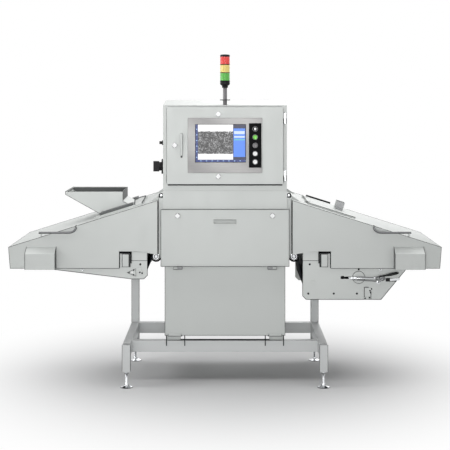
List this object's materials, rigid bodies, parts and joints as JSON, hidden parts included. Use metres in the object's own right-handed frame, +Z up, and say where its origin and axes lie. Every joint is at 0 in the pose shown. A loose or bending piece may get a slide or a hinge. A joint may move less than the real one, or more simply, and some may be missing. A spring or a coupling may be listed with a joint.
{
  "type": "food x-ray inspection machine",
  "caption": "Free-standing x-ray inspection machine for loose food: tower with screen and tunnel, sloping hoods over a through belt, hopper and open stand.",
  "frame": {"origin": "on the floor below the middle of the tower", "axes": "+X along the belt from infeed to outfeed, +Y from the operator's side to the rear, +Z up"},
  "size_m": [2.632, 0.88, 2.029],
  "materials": {
    "frame_steel": "bead-blasted stainless tube",
    "blasted_steel": "bead-blasted stainless sheet",
    "brushed_trim": "brushed stainless sheet",
    "polished_steel": "polished stainless",
    "black_plastic": "fine texture",
    "drive_rubber": "ground rubber lagging",
    "belt_rubber": "smooth coated belt",
    "green_lens": "ribbed translucent",
    "amber_lens": "ribbed translucent",
    "red_lens": "ribbed translucent",
    "screen_glass": "lit display",
    "white_plastic": "moulded",
    "green_plastic": "moulded",
    "grey_plastic": "moulded",
    "painted_tank": "enamel"
  },
  "bodies": {
    "stand": {"base_beams": "frame_steel", "base_rails": "frame_steel", "rear_uprights": "frame_steel", "front_legs": "frame_steel", "cantilever_arms": "frame_steel", "foot_stems": "polished_steel", "foot_pads": "polished_steel", "rail_hooks": "frame_steel", "lower_cabinet": "blasted_steel", "lower_front_panel": "blasted_steel", "tunnel_housing": "blasted_steel", "tunnel_collars": "frame_steel", "front_band": "brushed_trim", "service_door_hinges": "brushed_trim", "control_cabinet": "blasted_steel", "isolator_base": "black_plastic", "light_mast": "polished_steel", "light_base": "black_plastic", "lens_green": "green_lens", "lens_amber": "amber_lens", "lens_red": "red_lens", "light_cap": "black_plastic", "conveyor_plates": "frame_steel", "slider_bed": "frame_steel", "belt": "belt_rubber", "xray_generator": "painted_tank", "detector": "painted_tank"},
    "service_door": {"service_door": "blasted_steel"},
    "cabinet_door": {"cabinet_door": "blasted_steel", "door_pull": "brushed_trim", "screen_bezel": "brushed_trim", "screen": "screen_glass", "button_panel": "black_plastic"},
    "infeed_hood": {"infeed_hood": "blasted_steel", "infeed_hood_pulls": "polished_steel", "infeed_hopper": "brushed_trim"},
    "outfeed_hood": {"outfeed_hood": "blasted_steel", "outfeed_hood_pulls": "polished_steel"},
    "service_lock_left": {"service_lock_left": "polished_steel"},
    "service_lock_right": {"service_lock_right": "polished_steel"},
    "door_lock_top": {"door_lock_top": "polished_steel"},
    "door_lock_side": {"door_lock_side": "polished_steel"},
    "door_lock_bottom": {"door_lock_bottom": "polished_steel"},
    "button_1": {"button_1": "white_plastic"},
    "button_2": {"button_2": "green_plastic"},
    "button_3": {"button_3": "grey_plastic"},
    "button_4": {"button_4": "white_plastic"},
    "button_5": {"button_5": "white_plastic"},
    "isolator_knob": {"isolator_knob": "black_plastic"},
    "key_switch": {"key_switch": "black_plastic"},
    "hatch_lid": {"hatch_lid": "brushed_trim"},
    "infeed_roller": {"infeed_roller": "polished_steel"},
    "outfeed_roller": {"outfeed_roller": "drive_rubber"},
    "tension_roller": {"tension_roller": "polished_steel"},
    "outfeed_lower_roller": {"outfeed_lower_roller": "polished_steel"},
    "outfeed_snub_roller": {"outfeed_snub_roller": "polished_steel"},
    "infeed_snub_roller": {"infeed_snub_roller": "polished_steel"},
    "infeed_lower_roller": {"infeed_lower_roller": "polished_steel"},
    "release_lever": {"release_lever": "polished_steel"},
    "release_rod": {"release_rod": "polished_steel"}
  },
  "joints": [
    {"name": "service_door_fold", "type": "hinge", "parent": "stand", "child": "service_door", "pos_m": [0, -0.392, 0.7315], "axis": [1, 0, 0], "range_deg": [0, 170]},
    {"name": "service_lock_left_turn", "type": "hinge", "parent": "service_door", "child": "service_lock_left", "pos_m": [-0.288, -0.39, 1.048], "axis": [0, 1, 0], "range_deg": [0, 90]},
    {"name": "service_lock_right_turn", "type": "hinge", "parent": "service_door", "child": "service_lock_right", "pos_m": [0.288, -0.39, 1.048], "axis": [0, 1, 0], "range_deg": [0, 90]},
    {"name": "cabinet_door_swing", "type": "hinge", "parent": "stand", "child": "cabinet_door", "pos_m": [0.365, -0.382, 1.475], "axis": [0, 0, 1], "range_deg": [0, 110]},
    {"name": "door_lock_top_turn", "type": "hinge", "parent": "cabinet_door", "child": "door_lock_top", "pos_m": [-0.041, -0.39, 1.665], "axis": [0, 1, 0], "range_deg": [0, 90]},
    {"name": "door_lock_side_turn", "type": "hinge", "parent": "cabinet_door", "child": "door_lock_side", "pos_m": [-0.306, -0.39, 1.476], "axis": [0, 1, 0], "range_deg": [0, 90]},
    {"name": "door_lock_bottom_turn", "type": "hinge", "parent": "cabinet_door", "child": "door_lock_bottom", "pos_m": [-0.041, -0.39, 1.287], "axis": [0, 1, 0], "range_deg": [0, 90]},
    {"name": "isolator_turn", "type": "hinge", "parent": "stand", "child": "isolator_knob", "pos_m": [-0.4, -0.25, 1.34], "axis": [1, 0, 0], "range_deg": [0, 90]},
    {"name": "key_turn", "type": "hinge", "parent": "stand", "child": "key_switch", "pos_m": [-0.38, -0.25, 1.486], "axis": [1, 0, 0], "range_deg": [0, 90]},
    {"name": "infeed_hood_lift", "type": "hinge", "parent": "stand", "child": "infeed_hood", "pos_m": [-0.393, 0, 1.162], "axis": [0, 1, 0], "range_deg": [0, 45]},
    {"name": "outfeed_hood_lift", "type": "hinge", "parent": "stand", "child": "outfeed_hood", "pos_m": [0.393, 0, 1.162], "axis": [0, -1, 0], "range_deg": [0, 45]},
    {"name": "hatch_lid_lift", "type": "hinge", "parent": "outfeed_hood", "child": "hatch_lid", "pos_m": [0.50727, 0, 1.12155], "axis": [0, -1, 0], "range_deg": [0, 80]},
    {"name": "release_lever_turn", "type": "hinge", "parent": "stand", "child": "release_lever", "pos_m": [0.956, -0.377, 0.668], "axis": [0, 1, 0], "range_deg": [0, 60]},
    {"name": "release_rod_slide", "type": "slide", "parent": "stand", "child": "release_rod", "axis": [-1, 0, 0], "range_m": [0, 0.02]},
    {"name": "button_1_press", "type": "slide", "parent": "cabinet_door", "child": "button_1", "axis": [0, 1, 0], "range_m": [0, 0.0025], "stiffness_N_per_m": 300},
    {"name": "button_2_press", "type": "slide", "parent": "cabinet_door", "child": "button_2", "axis": [0, 1, 0], "range_m": [0, 0.0025], "stiffness_N_per_m": 300},
    {"name": "button_3_press", "type": "slide", "parent": "cabinet_door", "child": "button_3", "axis": [0, 1, 0], "range_m": [0, 0.0025], "stiffness_N_per_m": 300},
    {"name": "button_4_press", "type": "slide", "parent": "cabinet_door", "child": "button_4", "axis": [0, 1, 0], "range_m": [0, 0.0025], "stiffness_N_per_m": 300},
    {"name": "button_5_press", "type": "slide", "parent": "cabinet_door", "child": "button_5", "axis": [0, 1, 0], "range_m": [0, 0.0025], "stiffness_N_per_m": 300},
    {"name": "outfeed_roller_spin", "type": "hinge", "parent": "stand", "child": "outfeed_roller", "pos_m": [1.215, 0, 0.8], "axis": [0, 1, 0], "continuous": true},
    {"name": "infeed_roller_spin", "type": "hinge", "parent": "stand", "child": "infeed_roller", "pos_m": [-1.215, 0, 0.8], "axis": [0, 1, 0], "continuous": true},
    {"name": "tension_roller_spin", "type": "hinge", "parent": "stand", "child": "tension_roller", "pos_m": [0.814, 0, 0.671], "axis": [0, 1, 0], "continuous": true},
    {"name": "outfeed_lower_roller_spin", "type": "hinge", "parent": "stand", "child": "outfeed_lower_roller", "pos_m": [0.536, 0, 0.64], "axis": [0, 1, 0], "continuous": true},
    {"name": "outfeed_snub_roller_spin", "type": "hinge", "parent": "stand", "child": "outfeed_snub_roller", "pos_m": [0.423, 0, 0.79], "axis": [0, 1, 0], "continuous": true},
    {"name": "infeed_snub_roller_spin", "type": "hinge", "parent": "stand", "child": "infeed_snub_roller", "pos_m": [-0.423, 0, 0.79], "axis": [0, 1, 0], "continuous": true},
    {"name": "infeed_lower_roller_spin", "type": "hinge", "parent": "stand", "child": "infeed_lower_roller", "pos_m": [-0.52, 0, 0.72], "axis": [0, 1, 0], "continuous": true}
  ],
  "couplings": [
    {"joint": "release_rod_slide", "follows": "release_lever_turn", "m_per_rad": 0.019099},
    {"joint": "infeed_roller_spin", "follows": "outfeed_roller_spin", "ratio": 1},
    {"joint": "tension_roller_spin", "follows": "outfeed_roller_spin", "ratio": 1.5789},
    {"joint": "outfeed_lower_roller_spin", "follows": "outfeed_roller_spin", "ratio": 1},
    {"joint": "outfeed_snub_roller_spin", "follows": "outfeed_roller_spin", "ratio": -2.3077},
    {"joint": "infeed_snub_roller_spin", "follows": "outfeed_roller_spin", "ratio": -2.3077},
    {"joint": "infeed_lower_roller_spin", "follows": "outfeed_roller_spin", "ratio": 1.4286}
  ]
}
